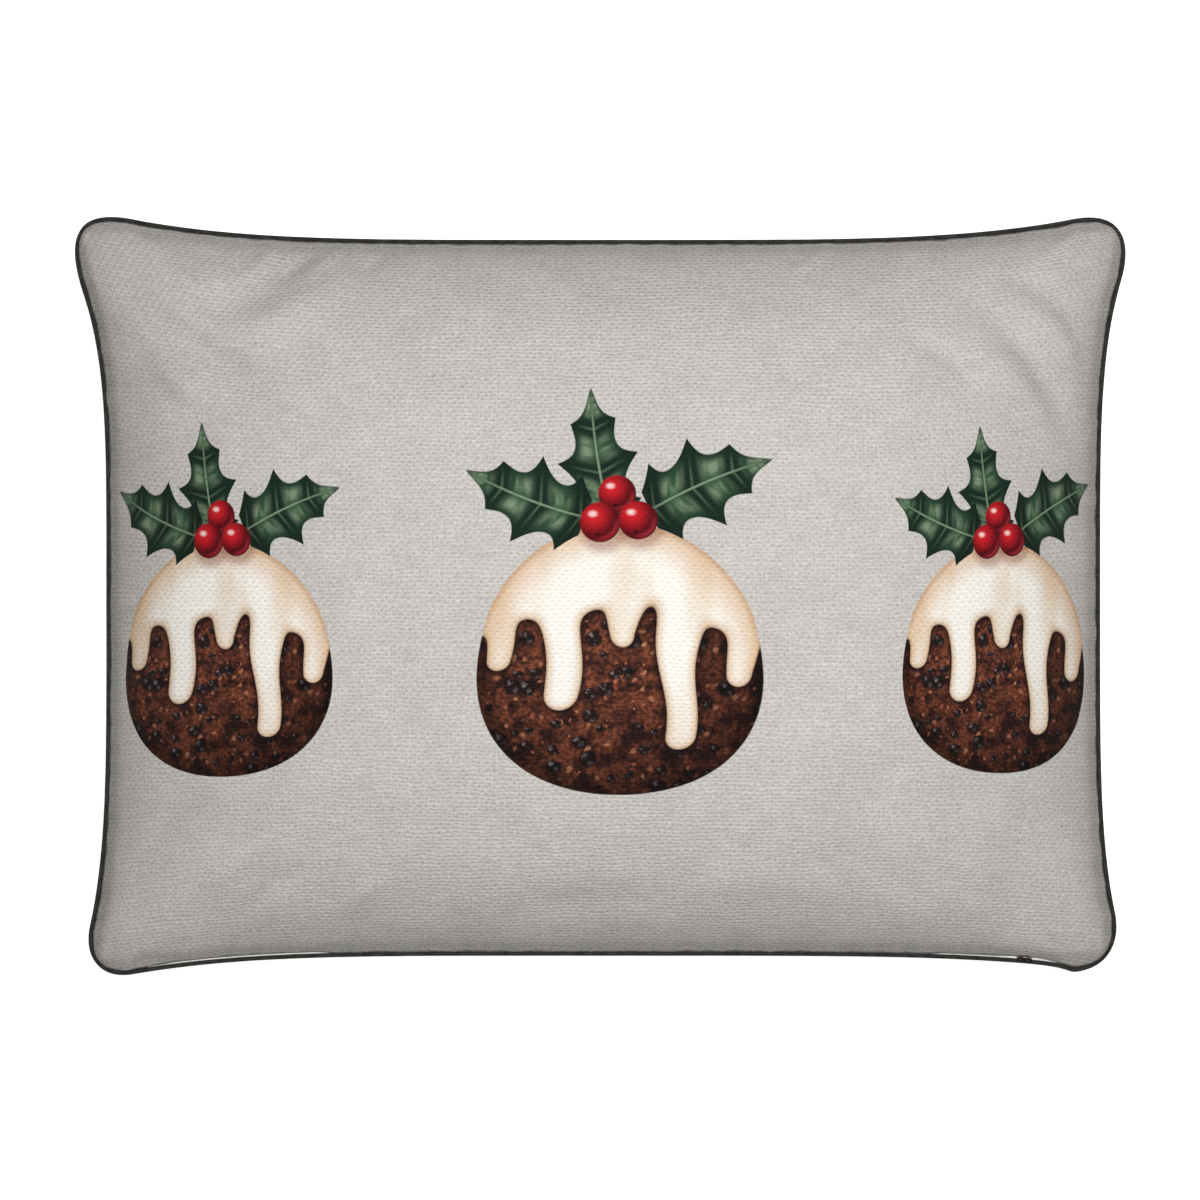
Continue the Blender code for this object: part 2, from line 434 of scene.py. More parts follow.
def make_panel(name, points, u, v, face):
    """One panel of the cover, closed inside by its seam allowance and a lining."""
    columns, rows = COLUMNS * FINER, ROWS * FINER
    edge = edge_of(u, v)
    # The spline smooths the gapes and the corner's point away, and the rows beside them follow.
    missed = hem(u[0], v[0], face) - points[0]
    for row in range(1, FOLLOWING_ROWS):
        points[row] += missed * (1 - row / FOLLOWING_ROWS)
    points[edge] = hem(u[edge], v[edge], face)
    ring = ring_indices(columns, rows)
    ring_u, ring_v = u.ravel()[ring], v.ravel()[ring]
    turned = points.reshape(-1, 3)[ring] - outward(ring_u, ring_v) * TURN_IN
    turned[:, 2] -= face * (HEM_UP * 0.6)
    count = points.size // 3
    places = np.concatenate([points.reshape(-1, 3), turned])
    inner = count + np.arange(len(ring))
    strip = np.stack([np.roll(ring, -1), ring, inner, np.roll(inner, -1)], axis=-1)
    lining = inner[::-1]
    if face == BACK:
        strip, lining = strip[:, ::-1], inner
    faces = grid_quads(columns, rows, face).tolist() + strip.tolist() + [lining.tolist()]
    panel = new_object(name, places, faces)
    mesh = panel.data

    flat = flat_cut(u, v).reshape(-1, 3)
    tucked = flat[ring] * (1 - 2 * TURN_IN / CUT_HEIGHT)
    add_vectors(mesh, "flat", np.concatenate([flat, tucked]))
    used = corner_vertices(mesh)
    spread = np.concatenate([flat, tucked])[used][:, :2] / CUT_WIDTH
    panel_corners = 4 * columns * rows
    room = 1 - 2 * MAP_MARGIN
    place = np.empty((len(used), 2))
    place[:, 0] = 0.5 + spread[:, 0] * room
    place[:, 1] = 1 - MAP_MARGIN - (CUT_HEIGHT / CUT_WIDTH / 2 - spread[:, 1]) * room
    low = MAP_MARGIN + CUT_HEIGHT / CUT_WIDTH / 2 * LINING_SHARE
    place[panel_corners:, 0] = 0.5 + spread[panel_corners:, 0] * LINING_SHARE
    place[panel_corners:, 1] = low + spread[panel_corners:, 1] * LINING_SHARE
    add_bake_map(mesh, place)
    return panel


def make_cover():
    """The front and the back panel, filled, and lying on the ground."""
    u, v = unit_grid(COLUMNS, ROWS)
    starts = [unfilled(u, v, FRONT), unfilled(u, v, BACK)]
    shapes = simulated(starts, flat_cut(u, v), edge_of(u, v))
    fine_u, fine_v = unit_grid(COLUMNS * FINER, ROWS * FINER)
    panels = []
    for face, name, shape in zip((FRONT, BACK), ("cover_front", "cover_back"), shapes):
        points = with_relief(finer(shape), fine_u, fine_v, face)
        points[..., 2] = np.maximum(points[..., 2], 0)
        panels.append(make_panel(name, points, fine_u, fine_v, face))
    return panels


def seam_route(count):
    """So many evenly spaced shares u, v of the grid's edge, anticlockwise from the lower left."""
    dense = 4000
    run = np.linspace(-1, 1, dense, endpoint=False)
    ones = np.ones(dense)
    u = np.concatenate([run, ones, -run, -ones])
    v = np.concatenate([-ones, run, ones, -run])
    places = seam_point(u, v)
    steps = np.linalg.norm(np.roll(places, -1, axis=0) - places, axis=-1)
    length = np.concatenate([[0], np.cumsum(steps)])
    at = np.interp(np.arange(count) / count * length[-1], length, np.arange(4 * dense + 1))
    left = at.astype(int)
    part = at - left
    right = (left + 1) % (4 * dense)
    return u[left] + (u[right] - u[left]) * part, v[left] + (v[right] - v[left]) * part, length[-1]


def swept(name, centres, out, sides, radii, closed):
    """A round tube through the centres. Its radii are a row for each centre and side."""
    count = len(centres)
    angle = np.arange(sides) / sides * 2 * math.pi
    across = np.cos(angle)[None, :, None] * out[:, None, :]
    up = np.sin(angle)[None, :, None] * np.array([0.0, 0.0, 1.0])
    points = centres[:, None, :] + (across + up) * radii[..., None]
    rows = np.arange(count if closed else count - 1)
    first = rows[:, None] * sides + np.arange(sides)
    beside = rows[:, None] * sides + (np.arange(sides) + 1) % sides
    ahead = (sides, count * sides)
    quads = np.stack([
        first, (first + ahead[0]) % ahead[1], (beside + ahead[0]) % ahead[1], beside,
    ], axis=-1).reshape(-1, 4)
    faces = quads.tolist()
    if not closed:
        faces.append(list(range(sides)))
        faces.append(list(range(count * sides - 1, (count - 1) * sides - 1, -1)))
    return new_object(name, points.reshape(-1, 3), faces)


PIPING_RINGS, PIPING_SIDES = 1440, 14
PIPING_STRIPS = 36  # rows that the piping takes on its bake map


def make_piping():
    """The thin corded piping, whose cover is pulled in a little by each stitch."""
    u, v, length = seam_route(PIPING_RINGS)
    out = outward(u, v)
    centres = seam_point(u, v) + out * PIPING_OUT
    angle = np.arange(PIPING_SIDES) / PIPING_SIDES * 2 * math.pi
    run = np.arange(PIPING_RINGS) / PIPING_RINGS * length
    circle = np.stack([np.cos(run / length * 2 * math.pi), np.sin(run / length * 2 * math.pi)])
    around = np.stack([circle[0], circle[1], 0 * run], axis=-1) * length / (2 * math.pi)
    uneven = 0.035 * noise_at(around / 0.012, 2) + 0.02 * noise_at(around / 0.003, 4)
    radii = PIPING_RADIUS * (1.01 + uneven[:, None] + 0.0 * angle)
    piping = swept("piping_cord", centres, out, PIPING_SIDES, radii, True)
    mesh = piping.data

    faces = PIPING_RINGS * PIPING_SIDES
    ring, side = np.divmod(np.arange(faces), PIPING_SIDES)
    # Corners go round each face as: here, ahead, ahead and beside, beside.
    along = ring[:, None] + np.array([0, 1, 1, 0])
    turn = side[:, None] + np.array([0, 0, 1, 1])
    per_strip = PIPING_RINGS // PIPING_STRIPS
    strip = ring[:, None] // per_strip
    place = np.stack([
        (along - strip * per_strip) / per_strip * 0.98 + 0.01,
        (strip + 0.1 + 0.8 * turn / PIPING_SIDES) / PIPING_STRIPS,
    ], axis=-1)
    add_bake_map(mesh, place.reshape(-1, 2))
    woven = mesh.attributes.new("woven", "FLOAT_VECTOR", "CORNER")
    spot = np.stack([along * length / PIPING_RINGS, turn / PIPING_SIDES + 0 * along, 0.0 * along], axis=-1)
    woven.data.foreach_set("vector", spot.astype(np.float32).ravel())
    return piping


def zip_line(step):
    """Points every step along the zip: u, the seam's points there and the outward directions."""
    count = int((ZIP_END - ZIP_START) * WAIST_RIGHT / step)
    u = np.linspace(ZIP_START, ZIP_END, count)
    v = -np.ones(count)
    return u, seam_point(u, v), outward(u, v)


COIL_STEPS, COIL_SIDES = 6, 8


def make_coil():
    """The zip's nylon coil, whose turns show as fine ribs."""
    u, line, out = zip_line(COIL_PITCH / COIL_STEPS)
    centres = line + out * COIL_OUT
    centres[:, 2] += COIL_UP
    phase = np.arange(len(u)) / COIL_STEPS * 2 * math.pi
    angle = np.arange(COIL_SIDES) / COIL_SIDES * 2 * math.pi
    radii = COIL_RADIUS * (0.86 + 0.14 * np.cos(phase[:, None] + angle))
    return swept("zip_coil", centres, out, COIL_SIDES, radii, False)


def make_tape():
    """The zip's tape, from the coil to under the front's hem."""
    _, line, out = zip_line(0.002)
    low, high = TAPE_UP, TAPE_UP + TAPE_THICKNESS
    section = [(TAPE_FROM, low), (TAPE_FROM, high), (TAPE_TO, high + 0.002), (TAPE_TO, low + 0.002)]
    lift = np.array([0.0, 0.0, 1.0])
    points = np.stack([line + out * aside + lift * up for aside, up in section], axis=1)
    rows = np.arange(len(line) - 1)[:, None] * 4
    side = np.arange(4)
    quads = np.stack([rows + side, rows + 4 + side, rows + 4 + (side + 1) % 4, rows + (side + 1) % 4], axis=-1)
    faces = quads.reshape(-1, 4)[:, ::-1].tolist()
    last = (len(line) - 1) * 4
    faces += [[0, 1, 2, 3], [last + 3, last + 2, last + 1, last]]
    tape = new_object("zip_tape_strip", points.reshape(-1, 3), faces)
    tape.data.shade_flat()
    return tape


def ringed_plate(name, outer, inner, lows, highs):
    """A plate between two outlines with as many points each, and its low and high edges."""
    count = len(outer)
    rings = []
    for outline, heights in ((outer, highs), (inner, highs), (inner, lows), (outer, lows)):
        rings.append(np.column_stack([outline, np.full(count, heights)]))
    here = np.arange(count)
    after = (here + 1) % count
    faces = []
    for ring in range(4):
        first, second = ring * count, (ring + 1) % 4 * count
        faces += np.stack([first + here, first + after, second + after, second + here], -1).tolist()
    return new_object(name, np.concatenate(rings), faces)


def rounded_outline(length, width, power, count, waist=0.0):
    """A rounded box as a superellipse, which may narrow towards its +X end."""
    angle = np.arange(count) / count * 2 * math.pi
    x = np.sign(np.cos(angle)) * np.abs(np.cos(angle)) ** (2 / power) * length / 2
    y = np.sign(np.sin(angle)) * np.abs(np.sin(angle)) ** (2 / power) * width / 2
    return np.stack([x, y * (1 - waist * (0.5 + x / length))], axis=-1)


def laid_on_zip(obj, node, ahead, back, up):
    """Puts a piece near its node's place in the model, turned along the zip."""
    low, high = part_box(node)
    inward = Vector((-ahead.y, ahead.x, 0)).normalized()
    obj.location = (Vector(low) + Vector(high)) / 2 + inward * SLIDER_TUCK
    obj.location += Vector((0, 0, up)) - ahead.normalized() * back
    obj.rotation_euler.z = math.atan2(ahead.y, ahead.x)
    rounding = obj.modifiers.new("Rounding", "BEVEL")
    rounding.width = 0.00012
    rounding.segments = 2
    return obj


def make_slider():
    """The slider's upper plate with its throat, the walls down its sides, and its bridge."""
    half, points = SLIDER_HEIGHT / 2, 32
    outline = rounded_outline(SLIDER_LENGTH, SLIDER_WIDTH, 3.2, points, 0.25)
    throat = rounded_outline(SLIDER_LENGTH * 0.34, SLIDER_WIDTH * 0.22, 2.4, points)
    plate = ringed_plate("zip_slider_body", outline, throat, -half, half * 0.10)
    angle = np.linspace(0, math.pi, 15)
    centres = np.stack([
        np.cos(angle) * SLIDER_LENGTH * 0.30,
        0 * angle,
        np.sin(angle) * half * 0.66 + half * 0.06,
    ], axis=-1)
    across = np.tile([0.0, 1.0, 0.0], (len(angle), 1))
    bridge = swept("zip_slider_bridge", centres, across, 10, np.full((len(angle), 10), half * 0.26), False)
    return plate, bridge


def make_pull():
    """The flat pull, with the eye that the bridge goes through."""
    half, points = PULL_THICKNESS / 2, 40
    outline = rounded_outline(PULL_LENGTH, PULL_WIDTH, 3.6, points, -0.15)
    eye = rounded_outline(PULL_LENGTH * 0.30, PULL_WIDTH * 0.42, 2.6, points)
    eye[:, 0] -= PULL_LENGTH * 0.24
    return ringed_plate("zip_pull_tab", outline, eye, -half, half)


def srgb(red, green, blue):
    """A display colour from 0 to 255 as a linear RGBA colour."""
    def linear(value):
        share = value / 255
        return share / 12.92 if share <= 0.04045 else ((share + 0.055) / 1.055) ** 2.4

    return (linear(red), linear(green), linear(blue), 1.0)


class Value:
    """A number or colour in a material's node tree. Arithmetic on it adds Math nodes."""

    def __init__(self, tree, socket):
        self.tree = tree
        self.socket = socket

    def maths(self, operation, *others):
        node = self.tree.nodes.new("ShaderNodeMath")
        node.operation = operation
        for slot, item in zip(node.inputs, (self,) + others):
            feed(item, slot)
        return Value(self.tree, node.outputs[0])

    def __add__(self, other):
        return self.maths("ADD", other)

    def __sub__(self, other):
        return self.maths("SUBTRACT", other)

    def __mul__(self, other):
        return self.maths("MULTIPLY", other)

    def __truediv__(self, other):
        return self.maths("DIVIDE", other)

    def __pow__(self, other):
        return self.maths("POWER", other)

    def __neg__(self):
        return self.maths("MULTIPLY", -1.0)

    def __abs__(self):
        return self.maths("ABSOLUTE")

    def less(self, other):
        return self.maths("LESS_THAN", other)

    def more(self, other):
        return self.maths("GREATER_THAN", other)

    def min(self, other):
        return self.maths("MINIMUM", other)

    def max(self, other):
        return self.maths("MAXIMUM", other)

    def smooth_min(self, other, reach):
        return self.maths("SMOOTH_MIN", other, reach)

    def sin(self):
        return self.maths("SINE")

    def cos(self):
        return self.maths("COSINE")

    def sqrt(self):
        return self.maths("SQRT")

    def fraction(self):
        return self.maths("FRACT")

    def exp(self):
        return self.maths("EXPONENT")


def feed(item, slot):
    """Links a Value to a socket, or sets the socket to a plain number or colour."""
    if isinstance(item, Value):
        item.tree.links.new(item.socket, slot)
    else:
        slot.default_value = item


def ramp(value, low, high, start=0.0, end=1.0):
    """A smooth step from start to end as the value goes from low to high."""
    node = value.tree.nodes.new("ShaderNodeMapRange")
    node.interpolation_type = "SMOOTHSTEP"
    for slot, item in zip(node.inputs[:5], (value, low, high, start, end)):
        feed(item, slot)
    return Value(value.tree, node.outputs[0])


def mixed(share, first, second, blend="MIX"):
    """Two colours, mixed by a share that is a Value."""
    node = share.tree.nodes.new("ShaderNodeMix")
    node.data_type = "RGBA"
    node.blend_type = blend
    node.clamp_factor = True
    feed(share, node.inputs["Factor"])
    colours = [slot for slot in node.inputs if slot.type == "RGBA"]
    feed(first, colours[0])
    feed(second, colours[1])
    result = next(slot for slot in node.outputs if slot.type == "RGBA")
    return Value(share.tree, result)


def times(colour, factor):
    """A colour made lighter or darker by a number that is a Value."""
    node = factor.tree.nodes.new("ShaderNodeVectorMath")
    node.operation = "SCALE"
    feed(colour if isinstance(colour, Value) else colour[:3], node.inputs[0])
    feed(factor, node.inputs["Scale"])
    return Value(factor.tree, node.outputs[0])


def vector(x, y, z=0.0):
    node = x.tree.nodes.new("ShaderNodeCombineXYZ")
    for slot, item in zip(node.inputs, (x, y, z)):
        feed(item, slot)
    return Value(x.tree, node.outputs[0])


def noise_value(x, y, size_x, size_y, seed, detail=0.0):
    """Smooth noise, about from 0 to 1, whose spots measure size_x by size_y."""
    node = x.tree.nodes.new("ShaderNodeTexNoise")
    node.noise_dimensions = "2D"
    feed(vector(x / size_x + seed * 17.3, y / size_y + seed * 9.1), node.inputs["Vector"])
    node.inputs["Scale"].default_value = 1.0
    node.inputs["Detail"].default_value = detail
    return Value(x.tree, node.outputs[0])


def cells(x, y, size, seed):
    """Voronoi cells: the place of a point in its cell, from the cell's middle, and three random numbers."""
    node = x.tree.nodes.new("ShaderNodeTexVoronoi")
    node.voronoi_dimensions = "2D"
    x, y = x / size + seed * 11.7, y / size + seed * 5.3
    feed(vector(x, y), node.inputs["Vector"])
    node.inputs["Scale"].default_value = 1.0
    middle_x, middle_y, _ = parts_of(Value(x.tree, node.outputs["Position"]))
    return x - middle_x, y - middle_y, parts_of(Value(x.tree, node.outputs["Color"]))


def parts_of(colour):
    """A colour's or a vector's three numbers."""
    node = colour.tree.nodes.new("ShaderNodeSeparateXYZ")
    feed(colour, node.inputs[0])
    return [Value(colour.tree, slot) for slot in node.outputs]


def distance(x, y):
    return (x * x + y * y).sqrt()


def material_with(name):
    """A new material, its node tree and its shader."""
    made = bpy.data.materials.new(name)
    made.use_nodes = True
    return made, made.node_tree, made.node_tree.nodes["Principled BSDF"]


def attribute(tree, name):
    node = tree.nodes.new("ShaderNodeAttribute")
    node.attribute_name = name
    return Value(tree, node.outputs["Vector"])


def bumped(height, depth):
    """A normal that rises by depth, in metres, where height goes from 0 to 1."""
    node = height.tree.nodes.new("ShaderNodeBump")
    node.inputs["Distance"].default_value = depth
    feed(height, node.inputs["Height"])
    return Value(height.tree, node.outputs["Normal"])


# The print is worked out in millimetres of flat cloth.
# Each pudding on it: the middle of its body, and how wide and high it is next to the middle one.
PUDDINGS = {
    "left": (-195.5, -33.0, 0.82, 0.86),
    "middle": (9.5, -33.0, 1.0, 1.0),
    "right": (205.0, -32.5, 0.73, 0.85),
}
PRINT_LEFT, PRINT_RIGHT, PRINT_LOW, PRINT_HIGH = -90.0, 90.0, -77.0, 152.0
BODY_WIDTH, BODY_HEIGHT, BODY_POWER, BODY_TAPER = 71.5, 68.5, 2.12, 0.11
SAUCE_TOP, SAUCE_FALL = 28.0, 17.0
# Each drip of the sauce: where it is, how far down it ends, half its width there and how it widens.
DRIPS = [
    (-61, -5, 5.5, 0.12),
    (-29, -25, 8.0, 0.07),
    (3, 7, 6.0, 0.20),
    (30, -45, 7.0, 0.07),
    (61, -13, 6.0, 0.10),
]
DRIP_BLEND = 12.0
# Each leaf: where its stalk starts, the way it points in degrees, its length and its half width.
LEAVES = [((-1.8, 62), 99, 80, 20), ((-9, 71), 159, 74, 23), ((8, 72), 24, 76, 24)]
# Each berry: its middle and radius.
BERRIES = [((-1, 85), 9.4), ((-9.6, 70.4), 10.2), ((9.4, 71.4), 9.8)]

WARP_PITCH, WEFT_PITCH = 2.05, 2.05


def weave(x, y):
    """A plain weave of uneven yarns: level rows of weft, with dark slits between them in brick order.

    Returns how far the weft stands up, about from 0 to 1, and how the yarns wander.
    """
    slow = noise_value(x, y, 19.0, 11.0, 1.0) - 0.5
    quick = noise_value(x, y, 4.5, 2.6, 2.0) - 0.5
    x = x + slow * 2.2 + quick * 1.5
    y = y + slow * 2.0 + quick * 1.0
    warp = (x * (math.pi / WARP_PITCH)).cos()
    phase = y * (math.pi / WEFT_PITCH)
    weft = phase.cos()
    row = ramp(abs(weft), 0.10, 0.90)
    dash = ramp(warp * weft, -0.35, 0.45) * abs(weft)
    slit = ramp(warp * phase.sin(), 0.05, 0.80)
    return row * 0.32 + dash * 0.30 - slit * 0.46 + 0.46, quick


def slubs(x, y):
    """Thicker and thinner stretches of the yarns, and soft patches, as a factor about 1."""
    level = noise_value(x, y, 13.0, 1.2, 3.0) - 0.5
    upright = noise_value(x, y, 1.1, 10.0, 4.0) - 0.5
    patch = noise_value(x, y, 30.0, 22.0, 5.0) - 0.5
    speck = noise_value(x, y, 1.3, 0.8, 6.0) - 0.5
    return level * 0.18 + upright * 0.16 + patch * 0.10 + speck * 0.30 + 1.0


def nearest_pudding(x, y):
    """The point's place on the pudding that it is nearest to."""
    on_left = x.less((PUDDINGS["left"][0] + PUDDINGS["middle"][0]) / 2)
    on_right = x.more((PUDDINGS["right"][0] + PUDDINGS["middle"][0]) / 2)
    values = []
    for middle, left, right in zip(PUDDINGS["middle"], PUDDINGS["left"], PUDDINGS["right"]):
        values.append(on_left * (left - middle) + on_right * (right - middle) + middle)
    centre_x, centre_y, scale_x, scale_y = values
    return (x - centre_x) / scale_x, (y - centre_y) / scale_y


def body_edge(x, y):
    """How far a point is outside the pudding's outline, in millimetres, roughly."""
    lean = y * (-BODY_TAPER / BODY_HEIGHT) + 1.0
    across = abs(x / (lean * BODY_WIDTH))
    up = abs(y / BODY_HEIGHT)
    return ((across**BODY_POWER + up**BODY_POWER) ** (1 / BODY_POWER) - 1.0) * BODY_HEIGHT


def sauce_edge(x, y):
    """How far a point is outside the sauce's lower edge, in millimetres, roughly."""
    x = x + (y * 0.11 + x * 0.05).sin() * 1.6
    edge = (x * x * (-SAUCE_FALL / BODY_WIDTH**2) + (x * 0.085 + 0.6).sin() * 3.5 + SAUCE_TOP) - y
    for middle, end, half, widening in DRIPS:
        over_end = y - (end + half)
        width = over_end.max(0.0) * widening + half
        edge = edge.smooth_min(distance(x - middle, over_end.min(0.0)) - width, DRIP_BLEND)
    return edge


def crumb(x, y, edge):
    """The pudding's colour: dark crumb with dried fruit."""
    soft = noise_value(x, y, 11.0, 9.0, 7.0, 3.0)
    grain = noise_value(x, y, 2.2, 2.0, 8.0, 3.0)
    rough_x = x + (grain - 0.5) * 3.2
    rough_y = y + (soft - 0.5) * 5.0 + (grain - 0.5) * 2.4
    colour = mixed(ramp(soft, 0.34, 0.66), srgb(46, 24, 21), srgb(110, 60, 42))
    colour = times(colour, ramp(grain, 0.28, 0.74, 0.52, 1.60))
    across, up, chance = cells(rough_x, rough_y, 4.6, 9.0)
    size = ramp(chance[1], 0.0, 1.0, 0.16, 0.40)
    pale = chance[0].more(0.70) * ramp(distance(across, up) / size, 0.4, 1.1, 0.80, 0.0)
    colour = mixed(pale, colour, mixed(chance[2], srgb(150, 84, 62), srgb(196, 132, 98)))
    across, up, chance = cells(rough_x, rough_y, 12.5, 10.0)
    size = ramp(chance[1], 0.0, 1.0, 0.15, 0.36)
    across, up = across / size, up / size
    chosen = chance[0].more(0.22)
    inside = ramp(distance(across, up * 1.2), 0.80, 1.20, 1.0, 0.0) * chosen
    colour = mixed(inside * 0.95, colour, srgb(25, 17, 18))
    gleam = ramp(distance(across + 0.30, up - 0.36), 0.05, 0.50, 1.0, 0.0)
    under = ramp(distance(across - 0.34, up + 0.40), 0.10, 0.45, 0.45, 0.0)
    shine = gleam.max(under) * ramp(grain, 0.36, 0.62)
    colour = mixed(inside * shine * 0.85, colour, srgb(142, 128, 132))
    lit = distance((x + 18.0) / 72.0, (y - 6.0) / 68.0)
    colour = times(colour, ramp(lit, 0.1, 1.25, 1.22, 0.46))
    return times(colour, ramp(edge, -11.0, 0.0, 1.0, 0.45))


def sauce_colour(x, y, edge, drip_edge):
    """White sauce, tan where it turns away at the pudding's side and at its own edges."""
    folds = noise_value(x, y, 19.0, 60.0, 11.0, 1.0)
    colour = mixed(ramp(folds, 0.42, 0.85) * 0.7, srgb(251, 247, 239), srgb(230, 209, 182))
    colour = mixed(ramp(edge, -20.0, 1.0) * 0.80, colour, srgb(219, 184, 147))
    colour = mixed(ramp(edge, -3.0, 1.0) * 0.55, colour, srgb(184, 140, 100))
    colour = mixed(ramp(drip_edge, -5.5, 0.0) * 0.70, colour, srgb(217, 186, 150))
    return mixed(ramp(drip_edge, -1.5, 0.0) * 0.55, colour, srgb(160, 116, 82))


def leaf_layers(x, y, leaf):
    """A holly leaf's cover, 0 or 1, and its colour."""
    (base_x, base_y), angle, length, half = leaf
    turn = math.radians(angle)
    from_x, from_y = x - base_x, y - base_y
    along = (from_x * math.cos(turn) + from_y * math.sin(turn)) / length
    aside = from_y * math.cos(turn) - from_x * math.sin(turn)
    aside = aside + along * (along - 1.0) * (0.5 * half)
    share = abs(aside) / half
    inside = along.max(0.0).min(1.0)
    envelope = ((inside**0.85) * math.pi).sin() ** (inside * 0.75 + 0.55)
    beat = (along - share * 0.10) * 3.5 + 0.5
    spine = abs(beat.fraction() * 2.0 - 1.0)
    width = envelope * (spine**2.2 * 0.46 + 0.60)
    cover = ramp(share - width, -0.02, 0.02, 1.0, 0.0) * along.more(0.11) * along.less(0.985)
    # The blade bulges between its side veins, and shines there in streaks along them.
    across = share / (width + 0.02)
    swell = ramp(spine, 0.15, 0.80, 1.0, 0.0)
    streak = noise_value(along * length - share * 7.0, aside, 4.6, 18.0, 11.0, 1.0)
    colour = mixed(swell * ramp(across, 0.2, 1.0, 1.0, 0.45), srgb(22, 42, 32), srgb(54, 86, 62))
    sheen = swell * ramp(abs(across - 0.42), 0.05, 0.42, 1.0, 0.0) * ramp(streak, 0.26, 0.70)
    colour = mixed(sheen * 0.66, colour, srgb(150, 166, 138))
    colour = mixed(ramp(across, 0.80, 1.0) * 0.7, colour, srgb(12, 28, 22))
    vein = ramp(spine, 0.90, 0.985) * ramp(across, 0.1, 0.75, 0.5, 0.0)
    colour = mixed(vein, colour, srgb(96, 124, 96))
    rib = ramp(abs(aside), 0.30, 0.85, 1.0, 0.0) * ramp(along, 0.55, 1.0, 0.85, 0.25)
    colour = mixed(rib, colour, srgb(134, 152, 124))
    return cover, times(colour, ramp(along, 0.02, 0.30, 0.40, 1.0))


def berry_layers(x, y, berry):
    """A red berry's cover, 0 or 1, its colour and the shadow that it throws."""
    (middle_x, middle_y), radius = berry
    across, up = (x - middle_x) / radius, (y - middle_y) / radius
    reach = distance(across, up)
    cover = ramp(reach, 0.97, 1.03, 1.0, 0.0)
    away = distance(across + 0.30, up - 0.34)
    colour = mixed(ramp(away, 0.05, 1.15), srgb(208, 30, 40), srgb(84, 6, 17))
    glow = ramp(abs(reach - 0.80), 0.0, 0.20, 0.45, 0.0) * ramp(across - up, 0.35, 1.25)
    colour = mixed(glow, colour, srgb(196, 54, 64))
    gleam = ramp(distance((across + 0.36) / 0.34, (up - 0.42) / 0.24), 0.1, 1.0, 0.9, 0.0)
    colour = mixed(gleam, colour, srgb(255, 226, 222))
    dot = ramp(distance(across + 0.12, up + 0.62), 0.06, 0.15, 0.85, 0.0)
    colour = mixed(dot, colour, srgb(40, 8, 14))
    shadow = ramp(distance(across - 0.15, up + 0.25), 0.9, 1.6, 0.55, 0.0)
    return cover, colour, shadow


def printed(x, y, cloth):
    """The three puddings, printed over the cloth's own colour, and where the ink is dark."""
    x, y = nearest_pudding(x, y)
    edge = body_edge(x, y)
    drip_edge = sauce_edge(x, y)
    body = ramp(edge, -0.3, 0.3, 1.0, 0.0)
    shade = ramp(drip_edge, 0.0, 4.5, 0.80, 0.0)
    pudding = mixed(shade, crumb(x, y, edge), srgb(22, 12, 12))
    colour = mixed(body, cloth, pudding)
    thickness = ramp(drip_edge, -12.0, -1.0, 1.2, 0.0)
    sauce = ramp(edge - thickness, -0.3, 0.3, 1.0, 0.0) * ramp(drip_edge, -0.3, 0.3, 1.0, 0.0)
    poured = sauce_colour(x, y, edge, drip_edge)
    berries = [berry_layers(x, y, berry) for berry in BERRIES]
    for _, _, shadow in berries:
        poured = mixed(shadow, poured, srgb(150, 96, 70))
    colour = mixed(sauce, colour, poured)
    ink = body * (sauce * -0.6 + 1.0)
    for leaf in LEAVES:
        cover, green = leaf_layers(x, y, leaf)
        colour = mixed(cover, colour, green)
        ink = ink.max(cover)
    for cover, red, _ in berries:
        colour = mixed(cover, colour, red)
        ink = ink.max(cover)
    return colour, ink


CLOTH_COLOUR = srgb(201, 197, 192)
INK_FILL = 0.6  # how far the ink hides the weave
PAINT = 0.90  # of the colours above, which are as bright light shows them
SEAM_PAINTED_SHADE, SEAM_REACH = 0.89, 18.0  # painted shade: the cover is darker towards its seams
SEAM_ROUNDING = 42.0
SIDE_PAINTED_SHADE, SIDE_REACH = 0.86, 14.0  # painted shade, darker still at its two short ends


def cover_material(name, has_print):
    """Pale linen-look weave, with the print on the front."""
    made, tree, shader = material_with(name)
    x, y, _ = [part * 1000.0 for part in parts_of(attribute(tree, "flat"))]
    height, wander = weave(x, y)
    across = (abs(x) + (SEAM_ROUNDING - CUT_WIDTH * 500)).max(0.0)
    along = (abs(y) + (SEAM_ROUNDING - CUT_HEIGHT * 500)).max(0.0)
    inset = distance(across, along) * -1.0 + SEAM_ROUNDING
    # Painted shade: the colour is darker near the seams, and more so at the two short ends.
    shade = ramp(inset, 0.0, SEAM_REACH, SEAM_PAINTED_SHADE * PAINT, PAINT)
    shade = shade * ramp(abs(x), CUT_WIDTH * 500 - SIDE_REACH, CUT_WIDTH * 500, 1.0, SIDE_PAINTED_SHADE)
    colour = times(CLOTH_COLOUR, slubs(x, y))
    contrast = ramp(wander, -0.25, 0.25, 0.15, 0.30)
    if has_print:
        colour, ink = printed(x, y, colour)
        contrast = contrast * (ink * -INK_FILL + 1.0)
    feed(times(colour, ((height - 0.55) * contrast + 1.0) * shade), shader.inputs["Base Color"])
    feed(ramp(height, 0.0, 1.0, 0.96, 0.84), shader.inputs["Roughness"])
    feed(bumped(height, 0.00022), shader.inputs["Normal"])
    shader.inputs["Specular IOR Level"].default_value = 0.15
    shader.inputs["Sheen Weight"].default_value = 0.03
    shader.inputs["Sheen Roughness"].default_value = 0.5
    return made


